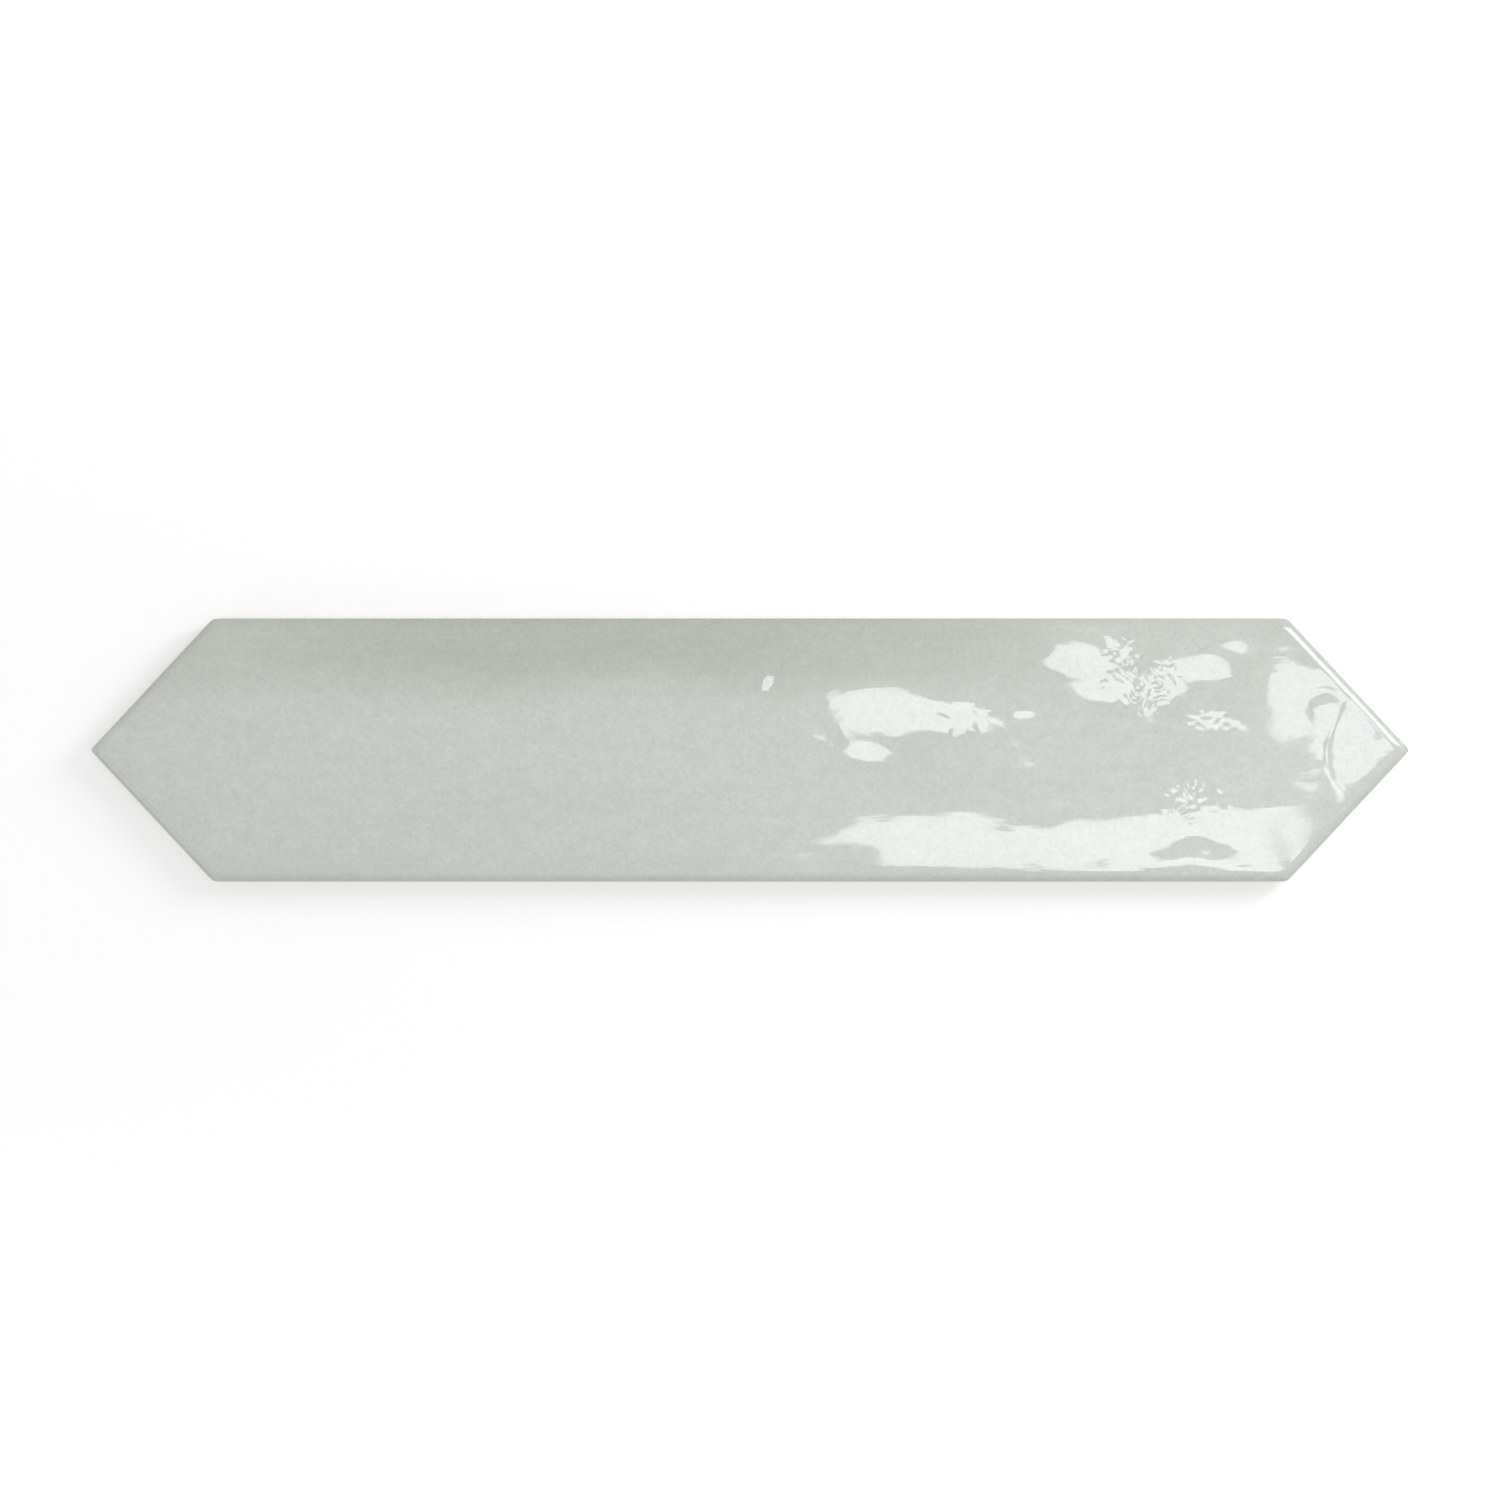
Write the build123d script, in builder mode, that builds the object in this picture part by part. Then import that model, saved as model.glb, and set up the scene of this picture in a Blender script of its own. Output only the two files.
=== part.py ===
"""Elongated hexagon wall tile, also called a picket tile: one pressed, glazed and fired ceramic piece.

The tile lies on its back with the glazed face up. X runs from tip to tip, Y across the width and Z up
through the thickness. The origin is the middle of the back. Lengths are in millimetres, angles in degrees.
"""

import os
from math import atan2, cos, radians, sin, tan

from build123d import *

# Driving dimensions of the outline, seen from above
tile_length = 250.0  # tip to tip, over the rounded tips
tile_width = 50.0  # between the two long edges
point_length = 23.3  # along X, from a shoulder to its tip
corner_radius = 0.7  # rounding of the tips and shoulders

# Driving dimensions of the section, the same along all six edges
tile_thickness = 8.5  # from the back to the flat middle of the face
cushion_width = 14.0  # border over which the face curves down towards its edges
cushion_drop = 0.5  # how far it comes down
arris_radius = 1.8  # soft glazed edge between the face and the sides
parting_height = 4.0  # the sides are upright above this level, and lean in below it
side_draft = 3.0  # lean of the lower sides, for release from the press
back_bevel = 0.6  # eased edge around the back

# Driving dimensions of the keyed back, whose grooves hold the adhesive
key_rim = 5.5  # least width of the plain border around the grooves
key_groove_width = 3.0
key_rib_width = 2.0  # between two grooves
key_groove_depth = 0.7

# Worked out from the driving dimensions
half_width = tile_width / 2
half_tip_angle = atan2(half_width, point_length)
tip_set_back = corner_radius * (1 / sin(half_tip_angle) - 1)
sharp_tip_x = tile_length / 2 + tip_set_back
shoulder_x = sharp_tip_x - point_length
cushion_radius = (cushion_width**2 + cushion_drop**2) / (2 * cushion_drop)
bevel_set_back = (parting_height - back_bevel) * tan(radians(side_draft))
key_pitch = key_groove_width + key_rib_width
grooves_each_side = int((half_width - key_rim + key_rib_width / 2) // key_pitch)

# The six corners before they are rounded, counter-clockwise from the right-hand tip
hexagon_corners = [
    (sharp_tip_x, 0),
    (shoulder_x, half_width),
    (-shoulder_x, half_width),
    (-sharp_tip_x, 0),
    (-shoulder_x, -half_width),
    (shoulder_x, -half_width),
]

# Opposite edges are parallel: the direction each pair faces, and how far it is from the middle
slanted_edge_reach = sharp_tip_x * sin(half_tip_angle)
edge_pairs = [
    (Vector(0, 1, 0), half_width),
    (Vector(sin(half_tip_angle), cos(half_tip_angle), 0), slanted_edge_reach),
    (Vector(sin(half_tip_angle), -cos(half_tip_angle), 0), slanted_edge_reach),
]

with BuildPart() as tile:
    # Plan with rounded tips and shoulders
    with BuildSketch() as outline:
        Polygon(*hexagon_corners, align=None)
        fillet(outline.vertices(), corner_radius)
    extrude(amount=tile_thickness)

    # Section of the face, sides and back edge, carried along each pair of opposite edges
    for facing, reach in edge_pairs:
        section_plane = Plane((0, 0, 0), x_dir=facing, z_dir=facing.cross(Vector(0, 0, 1)))
        with BuildSketch(section_plane) as section:
            with BuildLine():
                Polyline(
                    (reach, tile_thickness - cushion_drop),
                    (reach, parting_height),
                    (reach - bevel_set_back, back_bevel),
                    (reach - bevel_set_back - back_bevel, 0),
                    (0, 0),
                    (0, tile_thickness),
                    (reach - cushion_width, tile_thickness),
                )
                RadiusArc(
                    (reach - cushion_width, tile_thickness),
                    (reach, tile_thickness - cushion_drop),
                    cushion_radius,
                )
            make_face()
            face_corner = section.vertices().group_by(Axis.X)[-1].sort_by(Axis.Y)[-1]
            fillet(face_corner, arris_radius)
            mirror(about=Plane.YZ)
        extrude(amount=tile_length, both=True, mode=Mode.INTERSECT)

    # Long keying grooves in the back, which stop at a plain rim
    with BuildSketch():
        Polygon(*hexagon_corners, align=None)
        offset(amount=-key_rim, kind=Kind.INTERSECTION)
        with GridLocations(0, key_pitch, 1, 2 * grooves_each_side):
            Rectangle(tile_length, key_groove_width, mode=Mode.INTERSECT)
    extrude(amount=key_groove_depth, mode=Mode.SUBTRACT)

tile.part.label = "tile"
os.makedirs("parts", exist_ok=True)
export_step(tile.part, "parts/tile.step")
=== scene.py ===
import math

import bmesh
import bpy
import numpy as np
from mathutils import Matrix, Vector
from mathutils.geometry import delaunay_2d_cdt


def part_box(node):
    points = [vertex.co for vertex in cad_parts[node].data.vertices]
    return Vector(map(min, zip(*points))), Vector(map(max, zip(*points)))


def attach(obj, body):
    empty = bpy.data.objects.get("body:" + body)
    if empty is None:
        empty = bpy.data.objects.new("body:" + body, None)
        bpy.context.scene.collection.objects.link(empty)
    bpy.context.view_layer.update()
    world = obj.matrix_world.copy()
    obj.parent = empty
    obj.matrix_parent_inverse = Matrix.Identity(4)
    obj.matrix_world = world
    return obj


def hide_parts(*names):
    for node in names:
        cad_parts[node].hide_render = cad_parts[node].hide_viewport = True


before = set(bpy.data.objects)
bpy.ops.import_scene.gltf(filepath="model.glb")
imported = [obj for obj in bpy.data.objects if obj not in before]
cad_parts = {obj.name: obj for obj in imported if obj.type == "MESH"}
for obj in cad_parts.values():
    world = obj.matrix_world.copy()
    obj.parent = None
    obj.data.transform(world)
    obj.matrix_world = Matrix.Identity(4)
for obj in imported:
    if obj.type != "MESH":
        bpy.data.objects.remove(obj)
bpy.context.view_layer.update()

# Sizes in millimetres: the outer ones come from the CAD tile's box,
# the others repeat the CAD part's own values
MM = 0.001
low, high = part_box("tile")
LENGTH = (high.x - low.x) / MM
WIDTH = (high.y - low.y) / MM
THICKNESS = (high.z - low.z) / MM
POINT_LENGTH = 23.3
CORNER_RADIUS = 0.7
CUSHION_WIDTH = 14.0
CUSHION_DROP = 0.5
ARRIS_RADIUS = 1.8
PARTING_HEIGHT = 4.0
SIDE_DRAFT = math.radians(3.0)
BACK_BEVEL = 0.6
KEY_RIM = 5.5
KEY_GROOVE_WIDTH = 3.0
KEY_RIB_WIDTH = 2.0
KEY_GROOVE_DEPTH = 0.7

HALF_TIP = math.atan2(WIDTH / 2, POINT_LENGTH)
SHARP_TIP_X = LENGTH / 2 + CORNER_RADIUS * (1 / math.sin(HALF_TIP) - 1)
SHOULDER_X = SHARP_TIP_X - POINT_LENGTH
CUSHION_RADIUS = (CUSHION_WIDTH**2 + CUSHION_DROP**2) / (2 * CUSHION_DROP)
CREST = 0.367  # height of the glaze's highest crest above its plain face
FACE_TOP = THICKNESS - CREST

# The six edges as outward directions and reaches from the middle, and the six sharp corners
SLANT_REACH = SHARP_TIP_X * math.sin(HALF_TIP)
EDGES = [(0.0, side, WIDTH / 2) for side in (1, -1)]
for end in (1, -1):
    EDGES += [(end * math.sin(HALF_TIP), side * math.cos(HALF_TIP), SLANT_REACH) for side in (1, -1)]
HEXAGON = [
    (SHARP_TIP_X, 0.0),
    (SHOULDER_X, WIDTH / 2),
    (-SHOULDER_X, WIDTH / 2),
    (-SHARP_TIP_X, 0.0),
    (-SHOULDER_X, -WIDTH / 2),
    (SHOULDER_X, -WIDTH / 2),
]
CORNER_SOFTNESS = 1.5  # rounds the tips and shoulders of the edge distance by about the corner radius
CORNER_POWER = 6.0
LEAST_GAP = 0.05  # keeps the edge distance finite outside the outline


def edge_distance(x, y):
    """Distance in from the tile's outline, with rounded corners: 0 on the outline, positive inside."""
    total = 0.0
    for nx, ny, reach in EDGES:
        total = total + np.maximum(reach - nx * x - ny * y + CORNER_SOFTNESS, LEAST_GAP) ** -CORNER_POWER
    return total ** (-1 / CORNER_POWER) - CORNER_SOFTNESS


# Section of the face: flat middle, cushioned border, round arris down to the upright side
ARRIS_T = CUSHION_WIDTH - ARRIS_RADIUS
ARRIS_Z = FACE_TOP - CUSHION_RADIUS + math.sqrt((CUSHION_RADIUS - ARRIS_RADIUS) ** 2 - ARRIS_T**2)
ARRIS_END = CUSHION_WIDTH - ARRIS_T * CUSHION_RADIUS / (CUSHION_RADIUS - ARRIS_RADIUS)


def face_height(d):
    """Height of the plain face at the edge distance d."""
    fall = np.clip(CUSHION_WIDTH - d, 0, CUSHION_WIDTH)
    cushion = FACE_TOP - CUSHION_RADIUS + np.sqrt(CUSHION_RADIUS**2 - fall**2)
    reach = ARRIS_RADIUS - np.clip(d, 0, ARRIS_RADIUS)
    arris = ARRIS_Z + np.sqrt(np.clip(ARRIS_RADIUS**2 - reach**2, 0, None))
    return np.where(d < ARRIS_END, arris, cushion)


# Relief of the glaze, in millimetres
# Waves: seed, count, wavelength along and across, RMS slope across
WAVES = [
    (3, 40, 60.0, 14.0, 0.0035),
    (4, 60, 12.0, 5.0, 0.0025),
    (5, 80, 5.0, 2.2, 0.0018),
]
WAVE_LEAST, WAVE_SPAN = 0.6, 0.8  # wave numbers across: least share of the mean, and range above it
# Pools: middle x and y, half length, half width, slope towards -Y, turn in degrees, skew, lift
POOLS = [
    (23.0, 7.4, 14, 6.2, 0.046, 13, 0.25, 0.3),
    (39.5, 5.8, 7, 3.2, 0.034, 4, 0.3, -0.4),
    (22.5, -0.6, 4.6, 2.0, 0.046, 4, 0.2, 0),
    (3.4, 12.8, 1.8, 1.4, 0.088, 40, 0, 0),
    (-10, -5.5, 1.8, 1.0, 0.037, 40, 0, 0),
    (18.6, 16.4, 1.8, 0.8, 0.070, 30, 0, 0),
    (52, 6.6, 2.4, 1.0, 0.042, 0, 0, 0),
    (74, 17.0, 19, 7.0, 0.026, 0, 0, 0),
    (61.5, 19.6, 9.5, 5.8, 0.066, -14, 0.2, 1),
    (84.5, 15.2, 9.0, 4.4, 0.060, 9, -0.1, -0.2),
    (73, 10.5, 11, 1.9, 0.044, -2, 0, 0),
    (87, 5.6, 5, 2.4, 0.058, 10, 0.3, 0),
    (98, 6.8, 6.5, 7.0, 0.016, 93, 0, 0),
    (116, -4.4, 5.0, 4.0, 0.036, 192, 0, 0),
    (108.4, 9.6, 3.0, 1.3, -0.044, 20, 0, 0),
    (32, -14.0, 16, 3.0, 0.006, 0, 0, 0),
    (52, -13.5, 7, 2.5, -0.014, 0, 0, 0),
    (80.5, -19.2, 6.0, 2.2, -0.044, 14, 0, 0),
    (88, -19.2, 6.0, 2.2, -0.042, -12, 0, 0),
    (68, -19.0, 3.0, 0.6, -0.040, 14, 0, 0),
    (93, -22.2, 3.0, 0.5, -0.040, 8, 0, 0),
    (98, -11.5, 8.5, 2.4, -0.016, 0, 0, 0),
    (106.5, -17.0, 5.0, 5.5, 0.030, -90, 0, 0),
    (20, -21.5, 3.5, 6.0, 0.011, -90, 0, 0),
]
POOL_BEND = 6  # a higher power bends the leaning patch more sharply into its crest and trough
POOL_SKIRT = 3  # the crest and trough run out over about this many half widths
POOL_END = 4  # a higher power ends the pool more sharply along its length
# Crinkled spots: middle x and y, half length, half width, seed, size of the cells, height
CRINKLES = [
    (73, 14.0, 8.0, 7.0, 11, 3.0, 0.028),
    (84, -9.5, 7.5, 4.5, 12, 3.0, 0.022),
    (89, 6.5, 6.0, 4.0, 13, 3.2, 0.016),
    (40.5, 6.0, 5.5, 4.5, 14, 3.6, 0.010),
    (17, 7.5, 7.0, 6.0, 15, 3.4, 0.002),
]
CRINKLE_RIPPLES = 24
CELL_LEAST, CELL_SPAN = 0.7, 0.6  # wave numbers of the cells: least share of the mean, and range above it
CELL_SOFTNESS = 0.06  # rounds the creases between the cells
# Creases: start, bend and end of the arc, half width, height
CREASES = [
    ((113, 10.5), (110.5, 5), (109.5, 1), 0.5, 0.022),
    ((109.5, 1), (108.5, -4), (112.5, -8), 0.5, 0.022),
    ((105.5, 10.3), (109, 13), (113, 9.8), 0.5, 0.022),
]
CREASE_POINTS = 25
RELIEF_FADE = 3.0  # the relief dies out over this distance towards the outline


def waves(x, y, seed, count, along, across, slope):
    """Seeded sum of long soft ripples that run mostly along the tile."""
    draw = np.random.default_rng(seed)
    out = np.zeros_like(x)
    power = 0.0
    for _ in range(count):
        kx = 2 * math.pi / along * draw.normal()
        ky = 2 * math.pi / across * (WAVE_LEAST + WAVE_SPAN * draw.random()) * draw.choice([-1, 1])
        out += np.cos(kx * x + ky * y + draw.random() * 2 * math.pi)
        power += ky**2 / 2
    return out * slope / math.sqrt(power)


def pool(x, y, x0, y0, half_length, half_width, slope, turn, skew, lift):
    """A low crest and a shallow trough with an evenly leaning patch between them, all raised by lift."""
    c, s = math.cos(math.radians(turn)), math.sin(math.radians(turn))
    v = (-s * (x - x0) + c * (y - y0)) / half_width
    u = (c * (x - x0) + s * (y - y0)) / half_length + skew * v
    lean = v / (1 + v**POOL_BEND) ** (1 / POOL_BEND)
    step = (lean + lift) * np.exp(-((v / POOL_SKIRT) ** 2))
    return slope * half_width * step * np.exp(-(u**POOL_END))


def crinkle(x, y, x0, y0, half_length, half_width, seed, cell, height):
    """A spot of small soft cells with sharp creases between them."""
    draw = np.random.default_rng(seed)
    cells = np.zeros_like(x)
    for _ in range(CRINKLE_RIPPLES):
        angle = draw.random() * 2 * math.pi
        k = 2 * math.pi / cell * (CELL_LEAST + CELL_SPAN * draw.random())
        cells += np.cos(k * (math.cos(angle) * x + math.sin(angle) * y) + draw.random() * 2 * math.pi)
    cells = np.sqrt(2 * cells**2 / CRINKLE_RIPPLES + CELL_SOFTNESS)
    spot = np.exp(-((((x - x0) / half_length) ** 2 + ((y - y0) / half_width) ** 2) ** 2))
    return spot * height * cells


def crease(x, y, start, bend, end, half_width, height):
    """A fine ridge along an arc."""
    t = np.linspace(0, 1, CREASE_POINTS)[:, None]
    arc = (1 - t) ** 2 * np.array(start) + 2 * t * (1 - t) * np.array(bend) + t**2 * np.array(end)
    near = np.full_like(x, np.inf)
    for (x0, y0), (x1, y1) in zip(arc, arc[1:]):
        dx, dy = x1 - x0, y1 - y0
        share = np.clip(((x - x0) * dx + (y - y0) * dy) / (dx**2 + dy**2), 0, 1)
        near = np.minimum(near, (x - x0 - share * dx) ** 2 + (y - y0 - share * dy) ** 2)
    return height * np.exp(-near / half_width**2)


def relief(x, y, d):
    """Height of the glaze above the plain face."""
    h = np.zeros_like(x)
    for shape, rows in ((waves, WAVES), (pool, POOLS), (crinkle, CRINKLES), (crease, CREASES)):
        for values in rows:
            h += shape(x, y, *values)
    fade = np.clip(d / RELIEF_FADE, 0, 1)
    return h * fade**2 * (3 - 2 * fade)


class Mesh:
    """Vertices with their attributes, and faces, gathered piece by piece."""

    def __init__(self):
        self.co, self.edge, self.glaze, self.depth = [], [], [], []
        self.faces = []
        self.count = 0

    def add(self, xyz, edge, glaze, depth=0.0):
        """Add vertices and give back their numbers."""
        n = len(xyz)
        self.co.append(xyz)
        for store, value in ((self.edge, edge), (self.glaze, glaze), (self.depth, depth)):
            store.append(np.broadcast_to(np.asarray(value, float), (n,)))
        self.count += n
        return np.arange(self.count - n, self.count)

    def strip(self, outer, inner):
        """Quads between two closed rings with the same number of points."""
        n = len(outer)
        for i in range(n):
            j = (i + 1) % n
            self.faces.append((outer[i], outer[j], inner[j], inner[i]))


INSIDE_ONLY = 1  # the triangulation's output type that leaves out what lies outside the loops
FILL_TOLERANCE = 1e-7


def fill(loop, inside=(), holes=()):
    """Triangles between closed loops and loose points, numbered in the order loop, inside, holes."""
    points = [Vector(p) for p in loop] + [Vector(p) for p in inside]
    edges = [(i, (i + 1) % len(loop)) for i in range(len(loop))]
    for hole in holes:
        start = len(points)
        points += [Vector(p) for p in hole]
        edges += [(start + i, start + (i + 1) % len(hole)) for i in range(len(hole))]
    out = delaunay_2d_cdt(points, edges, [], INSIDE_ONLY, FILL_TOLERANCE)
    first = [ids[0] for ids in out[3]]
    return [tuple(first[i] for i in f) for f in out[2]]


# Outline: rings of points at a given edge distance
EDGE_REACH = 20.0  # the colour of the glaze changes within this distance of the outline
FIRST_STEP, STEP_GROWTH, LONGEST_STEP = 0.1, 1.12, 0.5
RING_ROUNDS = 8
NUDGE = 1e-4
LEAST_GRADIENT = 1e-6


def stations():
    """Points along the sharp hexagon, closer together at its corners."""
    points = []
    for i, corner in enumerate(HEXAGON):
        a, b = np.array(corner), np.array(HEXAGON[(i + 1) % len(HEXAGON)])
        length = np.linalg.norm(b - a)
        steps, step = [0.0], FIRST_STEP
        while steps[-1] < length / 2:
            steps.append(steps[-1] + step)
            step = min(step * STEP_GROWTH, LONGEST_STEP)
        half = np.array(steps) * (length / 2 / steps[-1])
        t = np.concatenate([half, length - half[-2::-1]])[:-1]
        points.append(a + (b - a) * (t / length)[:, None])
    return np.concatenate(points)


def ring_at(points, level):
    """The points moved straight in or out until their edge distance is level."""
    p = points.copy()
    for _ in range(RING_ROUNDS):
        x, y = p[:, 0], p[:, 1]
        gx = (edge_distance(x + NUDGE, y) - edge_distance(x - NUDGE, y)) / (2 * NUDGE)
        gy = (edge_distance(x, y + NUDGE) - edge_distance(x, y - NUDGE)) / (2 * NUDGE)
        g = np.stack([gx, gy], 1)
        missing = level - edge_distance(x, y)
        p = p + g * (missing / np.maximum((g**2).sum(1), LEAST_GRADIENT))[:, None]
    return p


# Face: rings over the arris, then a net of triangles that is finer where the glaze moves more
ARRIS_TURNS = (0, 9, 18, 28, 39, 51, 63, 75)
BORDER_LEVELS = [2.1, 2.55, 3.05]
FACE_LEVELS = [ARRIS_RADIUS * (1 - math.cos(math.radians(turn))) for turn in ARRIS_TURNS]
FACE_LEVELS += [ARRIS_END] + BORDER_LEVELS
CALM_X = -15.0  # the glaze left of this is calm
CALM_NET, NET, FINE_NET = 0.7, 0.5, 0.25
NET_CLEARANCE = 0.6  # share of its step that a net keeps clear of the last ring
# Spots with the fine net: middle x and y, half length, half width
FINE_SPOTS = [
    (73, 14.5, 8, 7.5),
    (84, -13.5, 9, 8),
    (89, 6.5, 6.5, 4.5),
    (110, 2, 4.5, 12),
    (40.5, 6, 5.5, 4.5),
]


def net_points(step):
    """Points of the triangular net with this step, in the part of the face that it covers."""
    rows = []
    for k, y in enumerate(np.arange(-WIDTH / 2, WIDTH / 2, step * math.sqrt(3) / 2)):
        x = np.arange(-LENGTH / 2 + (k % 2) * step / 2, LENGTH / 2, step)
        rows.append(np.stack([x, np.full(len(x), y)], 1))
    points = np.concatenate(rows)
    x, y = points.T
    spots = [((x - x0) / a) ** 2 + ((y - y0) / b) ** 2 < 1 for x0, y0, a, b in FINE_SPOTS]
    fine = np.any(spots, axis=0)
    own = {CALM_NET: ~fine & (x < CALM_X), NET: ~fine & (x >= CALM_X), FINE_NET: fine}[step]
    return points[own & (edge_distance(x, y) > FACE_LEVELS[-1] + NET_CLEARANCE * step)]


def add_face_points(tile_mesh, points, d):
    x, y = points.T
    h = relief(x, y, d)
    return tile_mesh.add(np.column_stack([points, face_height(d) + h]), d, 1.0, -h)


def build_face(tile_mesh, outline):
    """Add the glazed face and give back its outermost ring."""
    rings, points = [], outline
    for level in FACE_LEVELS:
        points = ring_at(points, level)
        rings.append(add_face_points(tile_mesh, points, np.full(len(points), level)))
    for outer, inner in zip(rings, rings[1:]):
        tile_mesh.strip(outer, inner)
    net = np.concatenate([net_points(step) for step in (CALM_NET, NET, FINE_NET)])
    ids = np.concatenate([rings[-1], add_face_points(tile_mesh, net, edge_distance(*net.T))])
    tile_mesh.faces += [tuple(ids[i] for i in f) for f in fill(points, net)]
    return rings[0]


# Sides: glaze runs down to an uneven lip, below it the bare body leans in to the back
LIP_HEIGHT, LIP_LOWEST, LIP_HIGHEST = 4.5, 2.6, 5.4
LIP_SEED = 8
LIP_WAVES = 89
LIP_LONG_WAVES = 14  # waves that go round the tile more often than this are weaker
LIP_FALLOFF = 1.5
LIP_WANDER = 0.22
RUN_START, RUN_LENGTH, RUN_POWER = 0.9, 0.5, 1.5  # where the waves pass the start, the glaze has run down
BODY_INSET = 0.14
BODY_TOP = 0.1  # the bare body starts this far below the lip
GLAZE_SHARES = (0.75, 0.5, 0.25)
BODY_SHARES = (1.0, 0.7, 0.4, 0.15)
# Section of the lip: height above it, inset from the outline, share of glaze
LIP_SECTION = [(0.3, 0.0, 1.0), (0.12, 0.01, 1.0), (0.03, 0.05, 1.0), (-0.02, 0.11, 0.6)]
# Section of the eased back edge: height and inset as shares of its size
BEVEL_SECTION = [(1.0, 0.0), (0.45, 0.3), (0.12, 0.68), (0.0, 1.0)]


def lip_heights(outline):
    """Height of the glaze's lower edge round the tile: small waves with a few longer runs."""
    gap = np.linalg.norm(np.roll(outline, -1, 0) - outline, axis=1)
    around = np.concatenate([[0], np.cumsum(gap)[:-1]]) / gap.sum() * 2 * math.pi
    draw = np.random.default_rng(LIP_SEED)
    lip = np.zeros(len(outline))
    for k in range(1, LIP_WAVES + 1):
        wave = np.cos(k * around + draw.random() * 2 * math.pi) * draw.normal()
        lip += wave / (1 + (k / LIP_LONG_WAVES) ** LIP_FALLOFF)
    lip = lip / lip.std()
    runs = RUN_LENGTH * np.clip(lip - RUN_START, 0, None) ** RUN_POWER
    return np.clip(LIP_HEIGHT + LIP_WANDER * lip - runs, LIP_LOWEST, LIP_HIGHEST)


def body_inset(z):
    """Inset of the bare body from the outline at the height z."""
    return BODY_INSET + np.clip(PARTING_HEIGHT - z, 0, None) * math.tan(SIDE_DRAFT)


def build_sides(tile_mesh, outline, top_ring):
    """Add the sides and give back the ring where the back starts, with its points."""
    lip = lip_heights(outline)
    lip_top, lip_foot = lip + LIP_SECTION[0][0], lip - BODY_TOP
    levels = [(lip_top + (ARRIS_Z - lip_top) * share, 0.0, 1.0) for share in GLAZE_SHARES]
    levels += [(lip + above, inset, glaze) for above, inset, glaze in LIP_SECTION]
    for share in BODY_SHARES:
        z = BACK_BEVEL + (lip_foot - BACK_BEVEL) * share
        levels.append((z, body_inset(z), 0.0))
    for height, inset in BEVEL_SECTION:
        levels.append((height * BACK_BEVEL, body_inset(BACK_BEVEL) + inset * BACK_BEVEL, 0.0))
    rings, points = [top_ring], outline
    for z, inset, glaze in levels:
        points = ring_at(points, inset)
        xyz = np.column_stack([points, np.broadcast_to(z, (len(points),))])
        rings.append(tile_mesh.add(xyz, 0.0, glaze))
    for upper, lower in zip(rings, rings[1:]):
        tile_mesh.strip(lower, upper)
    return rings[-1], points


# Back: flat rim and ribs with long keying grooves between them
KEY_PITCH = KEY_GROOVE_WIDTH + KEY_RIB_WIDTH
GROOVES_EACH_SIDE = int((WIDTH / 2 - KEY_RIM + KEY_RIB_WIDTH / 2) // KEY_PITCH)
# Section of a groove: height above the back, inset from its outline
GROOVE_SECTION = [(0.0, -0.1), (0.1, 0.0), (KEY_GROOVE_DEPTH - 0.2, 0.08), (KEY_GROOVE_DEPTH, 0.3)]
GROOVE_STEPS = (60, 2, 60, 2)  # points along a groove's two long sides and two ends
GROOVE_MARGIN = 0.05


def groove_reach(y):
    """How far a groove runs from the middle at y, its ends parallel to the tile's slanted edges."""
    return SHARP_TIP_X - KEY_RIM / math.sin(HALF_TIP) - abs(y) * POINT_LENGTH / (WIDTH / 2)


def groove_loop(y, inset):
    """Outline of the groove at y, drawn in by inset."""
    y0, y1 = y - KEY_GROOVE_WIDTH / 2 + inset, y + KEY_GROOVE_WIDTH / 2 - inset
    x0, x1 = groove_reach(y0) - inset, groove_reach(y1) - inset
    corners = [(-x0, y0), (x0, y0), (x1, y1), (-x1, y1)]
    loop = []
    for i, count in enumerate(GROOVE_STEPS):
        (ax, ay), (bx, by) = corners[i], corners[(i + 1) % len(corners)]
        loop += [(ax + (bx - ax) * k / count, ay + (by - ay) * k / count) for k in range(count)]
    return loop


def build_back(tile_mesh, rim_ring, rim_points):
    """Add the grooves and the flat back between them."""
    centres = [(k + 0.5) * KEY_PITCH for k in range(-GROOVES_EACH_SIDE, GROOVES_EACH_SIDE)]
    loops, ids = [], [rim_ring]
    for y in centres:
        rings = []
        for z, inset in GROOVE_SECTION:
            loop = groove_loop(y, inset)
            rings.append(tile_mesh.add(np.array([(px, py, z) for px, py in loop]), EDGE_REACH, 0.0))
        for outer, inner in zip(rings, rings[1:]):
            tile_mesh.strip(inner, outer)
        tile_mesh.faces.append(tuple(reversed(rings[-1])))
        loops.append(groove_loop(y, GROOVE_SECTION[0][1]))
        ids.append(rings[0])
    ids = np.concatenate(ids)
    flat = np.concatenate([rim_points] + [np.array(loop) for loop in loops])
    half_groove = KEY_GROOVE_WIDTH / 2 + GROOVE_MARGIN
    for f in fill(rim_points, holes=loops):
        x, y = flat[list(f)].mean(axis=0)
        in_groove = any(abs(y - c) < half_groove for c in centres) and abs(x) < groove_reach(y)
        if not in_groove:
            tile_mesh.faces.append(tuple(ids[i] for i in reversed(f)))


MERGE_DISTANCE = 0.01  # points of the rings that crowd together at the tips become one
SHARP_ANGLE = math.radians(40)


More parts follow.
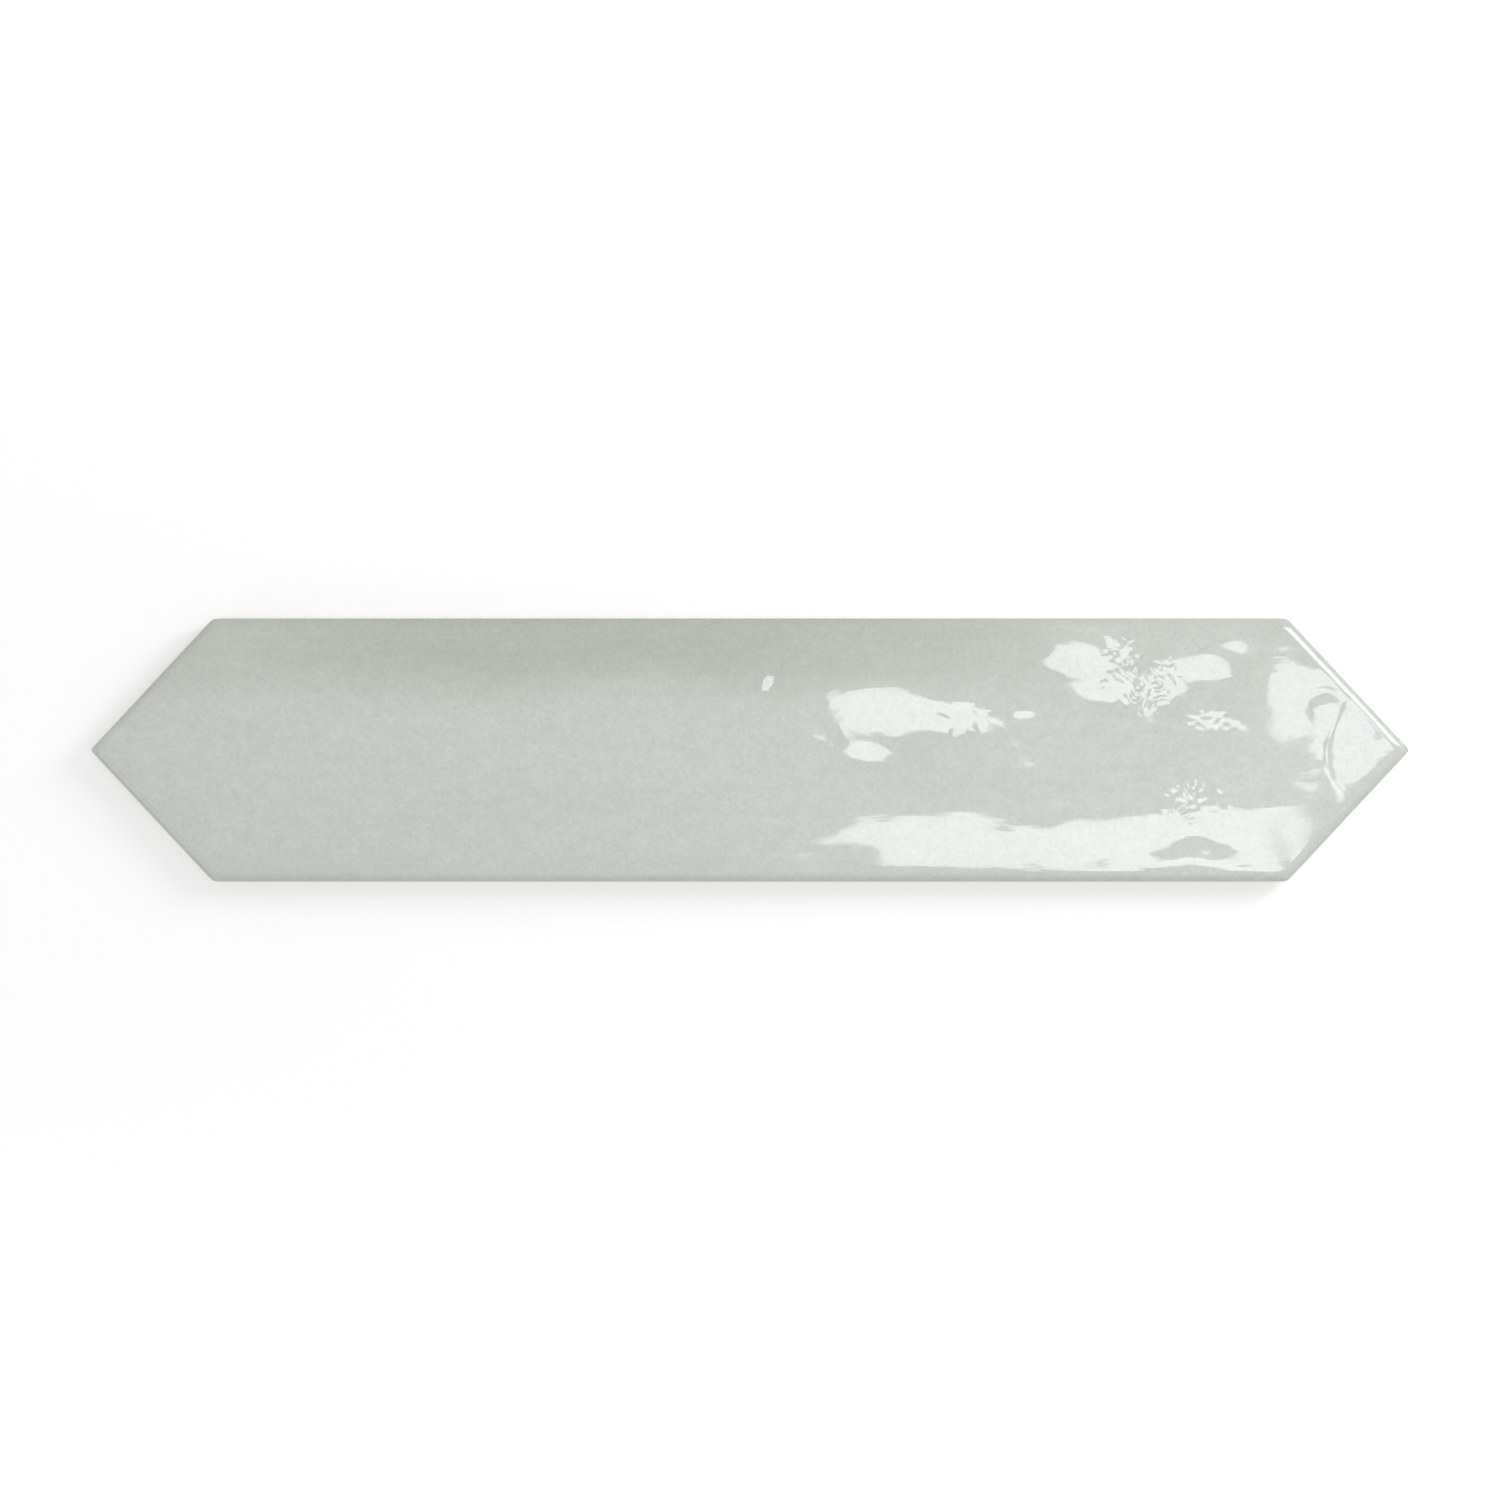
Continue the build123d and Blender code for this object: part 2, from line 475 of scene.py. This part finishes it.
def build_tile():
    tile_mesh = Mesh()
    outline = ring_at(stations(), 0.0)
    top_ring = build_face(tile_mesh, outline)
    rim_ring, rim_points = build_sides(tile_mesh, outline, top_ring)
    build_back(tile_mesh, rim_ring, rim_points)
    mesh = bpy.data.meshes.new("glazed_tile")
    co = np.concatenate(tile_mesh.co) * MM
    mesh.from_pydata(co.tolist(), [], [tuple(int(i) for i in f) for f in tile_mesh.faces])
    stores = {"edge_mm": tile_mesh.edge, "glaze": tile_mesh.glaze, "glaze_depth": tile_mesh.depth}
    for name, store in stores.items():
        layer = mesh.attributes.new(name, "FLOAT", "POINT")
        layer.data.foreach_set("value", np.concatenate(store).astype(np.float32))
    bm = bmesh.new()
    bm.from_mesh(mesh)
    bmesh.ops.remove_doubles(bm, verts=bm.verts, dist=MERGE_DISTANCE * MM)
    bm.to_mesh(mesh)
    bm.free()
    mesh.validate()
    mesh.shade_smooth()
    mesh.set_sharp_from_angle(angle=SHARP_ANGLE)
    tile = bpy.data.objects.new("glazed_tile", mesh)
    bpy.context.scene.collection.objects.link(tile)
    return tile


# Node trees
def srgb(r, g, b):
    """Linear colour from 8-bit sRGB."""
    shares = [c / 255 for c in (r, g, b)]
    return tuple(c / 12.92 if c <= 0.04045 else ((c + 0.055) / 1.055) ** 2.4 for c in shares) + (1.0,)


class Nodes:
    """Short ways to add nodes to a tree."""

    def __init__(self, owner):
        owner.use_nodes = True
        self.tree = owner.node_tree
        self.tree.nodes.clear()

    def new(self, kind, **inputs):
        node = self.tree.nodes.new(kind)
        for key, value in inputs.items():
            self.put(node, key.replace("_", " "), value)
        return node

    def put(self, node, key, value):
        socket = node.inputs[key]
        if isinstance(value, bpy.types.NodeSocket):
            self.tree.links.new(value, socket)
        else:
            socket.default_value = value

    def math(self, operation, a, b=0.0, clamp=False):
        node = self.new("ShaderNodeMath")
        node.operation, node.use_clamp = operation, clamp
        self.put(node, 0, a)
        self.put(node, 1, b)
        return node.outputs[0]

    def mix(self, factor, a, b, blend="MIX"):
        node = self.new("ShaderNodeMix")
        node.data_type, node.blend_type = "RGBA", blend
        for key, value in ((0, factor), (6, a), (7, b)):
            self.put(node, key, value)
        return node.outputs[2]

    def mix_value(self, factor, a, b):
        node = self.new("ShaderNodeMix")
        for key, value in ((0, factor), (2, a), (3, b)):
            self.put(node, key, value)
        return node.outputs[0]

    def tint(self, colour, tone):
        """Colour times a single tone."""
        node = self.new("ShaderNodeCombineColor")
        for i in range(3):
            self.put(node, i, tone)
        return self.mix(1.0, colour, node.outputs[0], "MULTIPLY")

    def ramp(self, factor, stops):
        node = self.new("ShaderNodeValToRGB")
        node.color_ramp.interpolation = "EASE"
        elements = node.color_ramp.elements
        while len(elements) < len(stops):
            elements.new(0.5)
        for element, (position, colour) in zip(elements, stops):
            element.position, element.color = position, colour
        self.put(node, 0, factor)
        return node.outputs[0]

    def rise(self, value, start, end, to_start=0.0, to_end=1.0):
        """Smooth step from to_start to to_end as value goes from start to end."""
        node = self.new("ShaderNodeMapRange", Value=value)
        node.interpolation_type = "SMOOTHSTEP"
        limits = {"From Min": start, "From Max": end, "To Min": to_start, "To Max": to_end}
        for key, number in limits.items():
            self.put(node, key, number)
        return node.outputs[0]

    def attribute(self, name):
        node = self.new("ShaderNodeAttribute")
        node.attribute_name = name
        return node.outputs["Fac"]

    def noise(self, vector, size, detail, rough, stretch):
        """Noise with features of about size millimetres across and stretch times that along."""
        place = self.new("ShaderNodeMapping", Vector=vector, Scale=(1 / stretch, 1.0, 1.0))
        node = self.new("ShaderNodeTexNoise", Vector=place.outputs[0], Detail=detail, Roughness=rough)
        self.put(node, "Scale", 1 / (size * MM))
        return node.outputs["Fac"]

    def spread(self, value, amount):
        """Noise about 0.5 turned into a factor about 1."""
        return self.math("ADD", self.math("MULTIPLY", self.math("SUBTRACT", value, 0.5), 2 * amount), 1.0)

    def ranged(self, value, least, span):
        """Noise from 0 to 1 turned into a number from least up."""
        return self.math("ADD", least, self.math("MULTIPLY", value, span))


# Glazed ceramic: grey-green gloss glaze on the face and upper sides, bare cream body below the lip
# Colours of the glaze at distances in from the outline, darker towards it: partly thinner glaze, partly
# painted shade on the arris
EDGE_COLOURS_AND_SHADE = [
    (0.0, srgb(194, 198, 189)),
    (0.6, srgb(201, 205, 197)),
    (2.0, srgb(204, 208, 201)),
    (6.0, srgb(205, 209, 202)),
    (EDGE_REACH, srgb(206, 210, 203)),
]
SHADE_TINT = (0.80, 0.81, 0.76, 1.0)  # painted shade: the glaze colour is made darker along the +Y edge
SHADE_BAND_Y = (5, 20)  # the band of painted shade comes in between these
SHADE_BAND_WANDER = 20
SHADE_BAND_ENDS = [(-115, -50, 0.5, 1.0), (5, 85, 1.0, 0.25)]  # from and to an x, share of the band at both
WARM_TINT = (1.015, 1.0, 0.982, 1.0)
COOL_TINT = (0.985, 1.0, 1.010, 1.0)
BODY_COLOURS = (srgb(222, 213, 198), srgb(232, 226, 214))
GLAZE_IOR = 1.55
# Noises: size in millimetres, detail, roughness, stretch along the tile
CLOUD = (30, 2.0, 0.5, 2.0)
HUE = (3.2, 2.0, 0.55, 1.0)
STREAKS = (4.0, 3.0, 0.55, 16.0)
MOTTLE = (2.2, 2.0, 0.55, 1.5)
GRAIN = (0.7, 1.0, 0.55, 1.0)
SHEEN = (3.0, 2.0, 0.5, 1.0)
RIPPLE = (1.2, 2.0, 0.5, 4.0)
BODY_CLOUD = (16, 3.0, 0.55, 1.0)
SPECKLE = (1.1, 4.0, 0.65, 1.0)
GRIT = (0.6, 4.0, 0.7, 1.0)
# What they do: change of the tone, least roughness and range above it, bump heights in millimetres
CLOUD_TONE = 0.04
GLAZE_TONES = [(STREAKS, 0.035), (MOTTLE, 0.07), (GRAIN, 0.10)]
SPECKLE_TONE = 0.10
DEPTH_TONE = 0.10  # darker by this share for each millimetre that the glaze lies lower
GLAZE_ROUGH = (0.03, 0.03)
BODY_ROUGH = (0.78, 0.2)
RIPPLE_HEIGHT = 0.008
GRIT_HEIGHT = 0.16


def painted_shade_band(m, place, cloud):
    """Share of the band of painted shade along the +Y edge, with a wandering border and weaker ends."""
    split = m.new("ShaderNodeSeparateXYZ", Vector=place)
    wander = m.math("MULTIPLY", m.math("SUBTRACT", cloud, 0.5), SHADE_BAND_WANDER * MM)
    shade_share = m.rise(m.math("ADD", split.outputs["Y"], wander), *(y * MM for y in SHADE_BAND_Y))
    for start, end, at_start, at_end in SHADE_BAND_ENDS:
        end_share = m.rise(split.outputs["X"], start * MM, end * MM, at_start, at_end)
        shade_share = m.math("MULTIPLY", shade_share, end_share)
    return shade_share


def glaze_colour(m, place):
    edge = m.math("DIVIDE", m.attribute("edge_mm"), EDGE_REACH, clamp=True)
    # darker towards the outline: partly thinner glaze, partly painted shade on the arris
    colour = m.ramp(edge, [(d / EDGE_REACH, c) for d, c in EDGE_COLOURS_AND_SHADE])
    cloud = m.noise(place, *CLOUD)
    # painted shade: the glaze colour is made darker in a band along the +Y edge
    shade_share = painted_shade_band(m, place, cloud)
    colour = m.mix(shade_share, colour, m.mix(1.0, colour, SHADE_TINT, "MULTIPLY"))
    hue = m.noise(place, *HUE)
    colour = m.mix(1.0, colour, m.mix(hue, WARM_TINT, COOL_TINT), "MULTIPLY")
    tone = m.spread(cloud, CLOUD_TONE)
    for noise, amount in GLAZE_TONES:
        tone = m.math("MULTIPLY", tone, m.spread(m.noise(place, *noise), amount))
    thick = m.math("SUBTRACT", 1.0, m.math("MULTIPLY", m.attribute("glaze_depth"), DEPTH_TONE))
    return m.tint(colour, m.math("MULTIPLY", tone, thick))


def body_colour(m, place, speckle):
    colour = m.mix(m.noise(place, *BODY_CLOUD), *BODY_COLOURS)
    return m.tint(colour, m.spread(speckle, SPECKLE_TONE))


def glazed_ceramic():
    material = bpy.data.materials.new("glazed_ceramic")
    m = Nodes(material)
    place = m.new("ShaderNodeTexCoord").outputs["Object"]
    cover = m.math("GREATER_THAN", m.attribute("glaze"), 0.5)
    speckle = m.noise(place, *SPECKLE)
    colour = m.mix(cover, body_colour(m, place, speckle), glaze_colour(m, place))
    gloss = m.ranged(m.noise(place, *SHEEN), *GLAZE_ROUGH)
    rough = m.mix_value(cover, m.ranged(speckle, *BODY_ROUGH), gloss)
    ripple = m.math("MULTIPLY", m.noise(place, *RIPPLE), RIPPLE_HEIGHT * MM)
    grit = m.math("MULTIPLY", m.noise(place, *GRIT), GRIT_HEIGHT * MM)
    bump = m.new("ShaderNodeBump", Height=m.mix_value(cover, grit, ripple), Strength=1.0, Distance=1.0)
    shader = m.new("ShaderNodeBsdfPrincipled", Base_Color=colour, Roughness=rough, Normal=bump.outputs[0])
    m.put(shader, "IOR", GLAZE_IOR)
    m.new("ShaderNodeOutputMaterial", Surface=shader.outputs[0])
    return material


tile = build_tile()
tile.data.materials.append(glazed_ceramic())
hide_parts("tile")
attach(tile, "root")


# Floor and room, in metres: white to the camera and in reflections, the floor keeps the tile's soft shadow
FLOOR_SIZE = 8.0
FLOOR_COLOUR = (0.72, 0.72, 0.72, 1.0)
FLOOR_SQUEEZE = (0.35, 1.0, 1.0)  # the lift follows ovals that are longer along the tile
FLOOR_LIFT = [(0.05, 0.15, 0.37, 0.44), (0.3, 1.2, 0.0, 0.10)]  # from and to a distance, lift at both
ROOM_LIGHT = 0.63
WHITE = (1.0, 1.0, 1.0, 1.0)
DAYLIGHT = (0.94, 0.965, 1.0, 1.0)


def seen_white(n):
    """1 for the rays that see the background: from the camera, in a reflection or through glass."""
    path = n.new("ShaderNodeLightPath").outputs
    seen = n.math("MAXIMUM", path["Is Camera Ray"], path["Is Glossy Ray"])
    return n.math("MAXIMUM", seen, path["Is Transmission Ray"])


def build_floor():
    mesh = bpy.data.meshes.new("floor")
    h = FLOOR_SIZE / 2
    mesh.from_pydata([(-h, -h, 0), (h, -h, 0), (h, h, 0), (-h, h, 0)], [], [(0, 1, 2, 3)])
    floor = bpy.data.objects.new("floor", mesh)
    bpy.context.scene.collection.objects.link(floor)
    material = bpy.data.materials.new("floor_paper")
    n = Nodes(material)
    paper = n.new("ShaderNodeBsdfDiffuse", Color=FLOOR_COLOUR)
    place = n.new("ShaderNodeTexCoord").outputs["Object"]
    oval = n.new("ShaderNodeMapping", Vector=place, Scale=FLOOR_SQUEEZE)
    far = n.new("ShaderNodeVectorMath")
    far.operation = "LENGTH"
    n.put(far, 0, oval.outputs[0])
    near, further = [n.rise(far.outputs["Value"], *steps) for steps in FLOOR_LIFT]
    strength = n.math("MULTIPLY", seen_white(n), n.math("ADD", near, further))
    lift = n.new("ShaderNodeEmission", Color=WHITE, Strength=strength)
    both = n.new("ShaderNodeAddShader")
    n.put(both, 0, paper.outputs[0])
    n.put(both, 1, lift.outputs[0])
    n.new("ShaderNodeOutputMaterial", Surface=both.outputs[0])
    mesh.materials.append(material)


def build_room():
    world = bpy.data.worlds.new("studio")
    bpy.context.scene.world = world
    n = Nodes(world)
    room = n.new("ShaderNodeBackground", Color=WHITE, Strength=ROOM_LIGHT)
    white = n.new("ShaderNodeBackground", Color=WHITE, Strength=1.0)
    both = n.new("ShaderNodeMixShader")
    for key, value in ((0, seen_white(n)), (1, room.outputs[0]), (2, white.outputs[0])):
        n.put(both, key, value)
    n.new("ShaderNodeOutputWorld", Surface=both.outputs[0])


LAMP_MIDDLE = (0.5, 0.5, 0.0)  # in a lamp's own coordinates, which go from 0 to 1
OVAL_REACH = 0.5


def softbox(name, centre, x_axis, y_axis, size, radiance, soft, oval=False):
    """A lamp radiance times as bright as white, fading at its edges by the soft shares of its size."""
    lamp = bpy.data.lights.new(name, "AREA")
    lamp.shape = "ELLIPSE" if oval else "RECTANGLE"
    lamp.size, lamp.size_y = size
    lamp.energy = radiance * math.pi * size[0] * size[1] * (math.pi / 4 if oval else 1)
    n = Nodes(lamp)
    place = n.new("ShaderNodeNewGeometry").outputs["Parametric"]
    if oval:
        out = n.new("ShaderNodeVectorMath")
        out.operation = "DISTANCE"
        n.put(out, 0, place)
        n.put(out, 1, LAMP_MIDDLE)
        strength = n.rise(out.outputs["Value"], OVAL_REACH - soft, OVAL_REACH, 1.0, 0.0)
    else:
        split = n.new("ShaderNodeSeparateXYZ", Vector=place)
        strength = 1.0
        for axis, (start, end) in zip("XY", soft):
            share = split.outputs[axis]
            strength = n.math("MULTIPLY", n.rise(share, 0.0, start), strength)
            strength = n.math("MULTIPLY", n.rise(share, 1.0 - end, 1.0, 1.0, 0.0), strength)
    glow = n.new("ShaderNodeEmission", Color=DAYLIGHT, Strength=strength)
    n.new("ShaderNodeOutputLight", Surface=glow.outputs[0])
    obj = bpy.data.objects.new(name, lamp)
    obj.visible_camera = False
    x_axis, y_axis = Vector(x_axis).normalized(), Vector(y_axis).normalized()
    turn = Matrix((x_axis, y_axis, x_axis.cross(y_axis))).transposed()
    obj.matrix_world = Matrix.LocRotScale(Vector(centre), turn, None)
    bpy.context.scene.collection.objects.link(obj)


def overhead(turn):
    """Axes of a lamp that faces straight down, turned about the vertical."""
    return (math.cos(turn), math.sin(turn), 0), (-math.sin(turn), math.cos(turn), 0)


def facing(centre):
    """Axes of a lamp that faces the tile's middle, the first one level."""
    out = Vector(centre).normalized()
    across = Vector((-out.y, out.x, 0)).normalized()
    return across, out.cross(across)


# Lamps in metres: one overhead, mirrored by the pools and the -Y border, an oval one for the +X tip,
# a tall one beyond it, mirrored by the arris of the +X +Y edge, and three low ones that the face mirrors
# from the sides
OVERHEAD_Z = 1.5
KEY_CENTRE = (0.183, -0.145, OVERHEAD_Z)
KEY_TURN = math.radians(-5)
KEY_SIZE = (0.286, 0.199)
KEY_RADIANCE = 5.6
KEY_SOFT = ((0.03, 0.20), (0.06, 0.12))
TIP_CENTRE = (0.350, 0.048, OVERHEAD_Z)
TIP_SIZE = (0.168, 0.184)
TIP_RADIANCE = 5.0
TIP_SOFT = 0.05
# Side lamps: name, centre, size, radiance
SIDE_LAMPS = [
    ("edge_softbox", (0.345, 0.2125, 0.3575), (0.13, 0.42), 7.8),
    ("left_softbox", (-0.80, -0.60, 0.53), (0.30, 0.35), 1.9),
    ("back_softbox", (-0.72, 0.87, 0.65), (0.20, 0.32), 2.2),
    ("front_softbox", (0.86, -0.86, 0.44), (0.18, 0.28), 0.7),
]
SIDE_SOFT = ((0.1, 0.1), (0.1, 0.1))
build_floor()
build_room()
softbox("key_softbox", KEY_CENTRE, *overhead(KEY_TURN), KEY_SIZE, KEY_RADIANCE, KEY_SOFT)
softbox("tip_softbox", TIP_CENTRE, *overhead(0.0), TIP_SIZE, TIP_RADIANCE, TIP_SOFT, oval=True)
for name, centre, size, radiance in SIDE_LAMPS:
    softbox(name, centre, *facing(centre), size, radiance, SIDE_SOFT)

# Camera: straight down on the face, as the photograph shows it
TILE_SHARE = 0.88  # of the picture's width
LENS, SENSOR = 135.0, 36.0
CLIP_START, CLIP_END = 0.01, 20.0
scene = bpy.context.scene
camera = bpy.data.objects.new("camera", bpy.data.cameras.new("camera"))
camera.data.lens, camera.data.sensor_width = LENS, SENSOR
camera.data.clip_start, camera.data.clip_end = CLIP_START, CLIP_END
camera.location = (0, 0, LENGTH * MM / TILE_SHARE * LENS / SENSOR + THICKNESS * MM)
scene.collection.objects.link(camera)
scene.camera = camera
scene.view_settings.view_transform = "Standard"
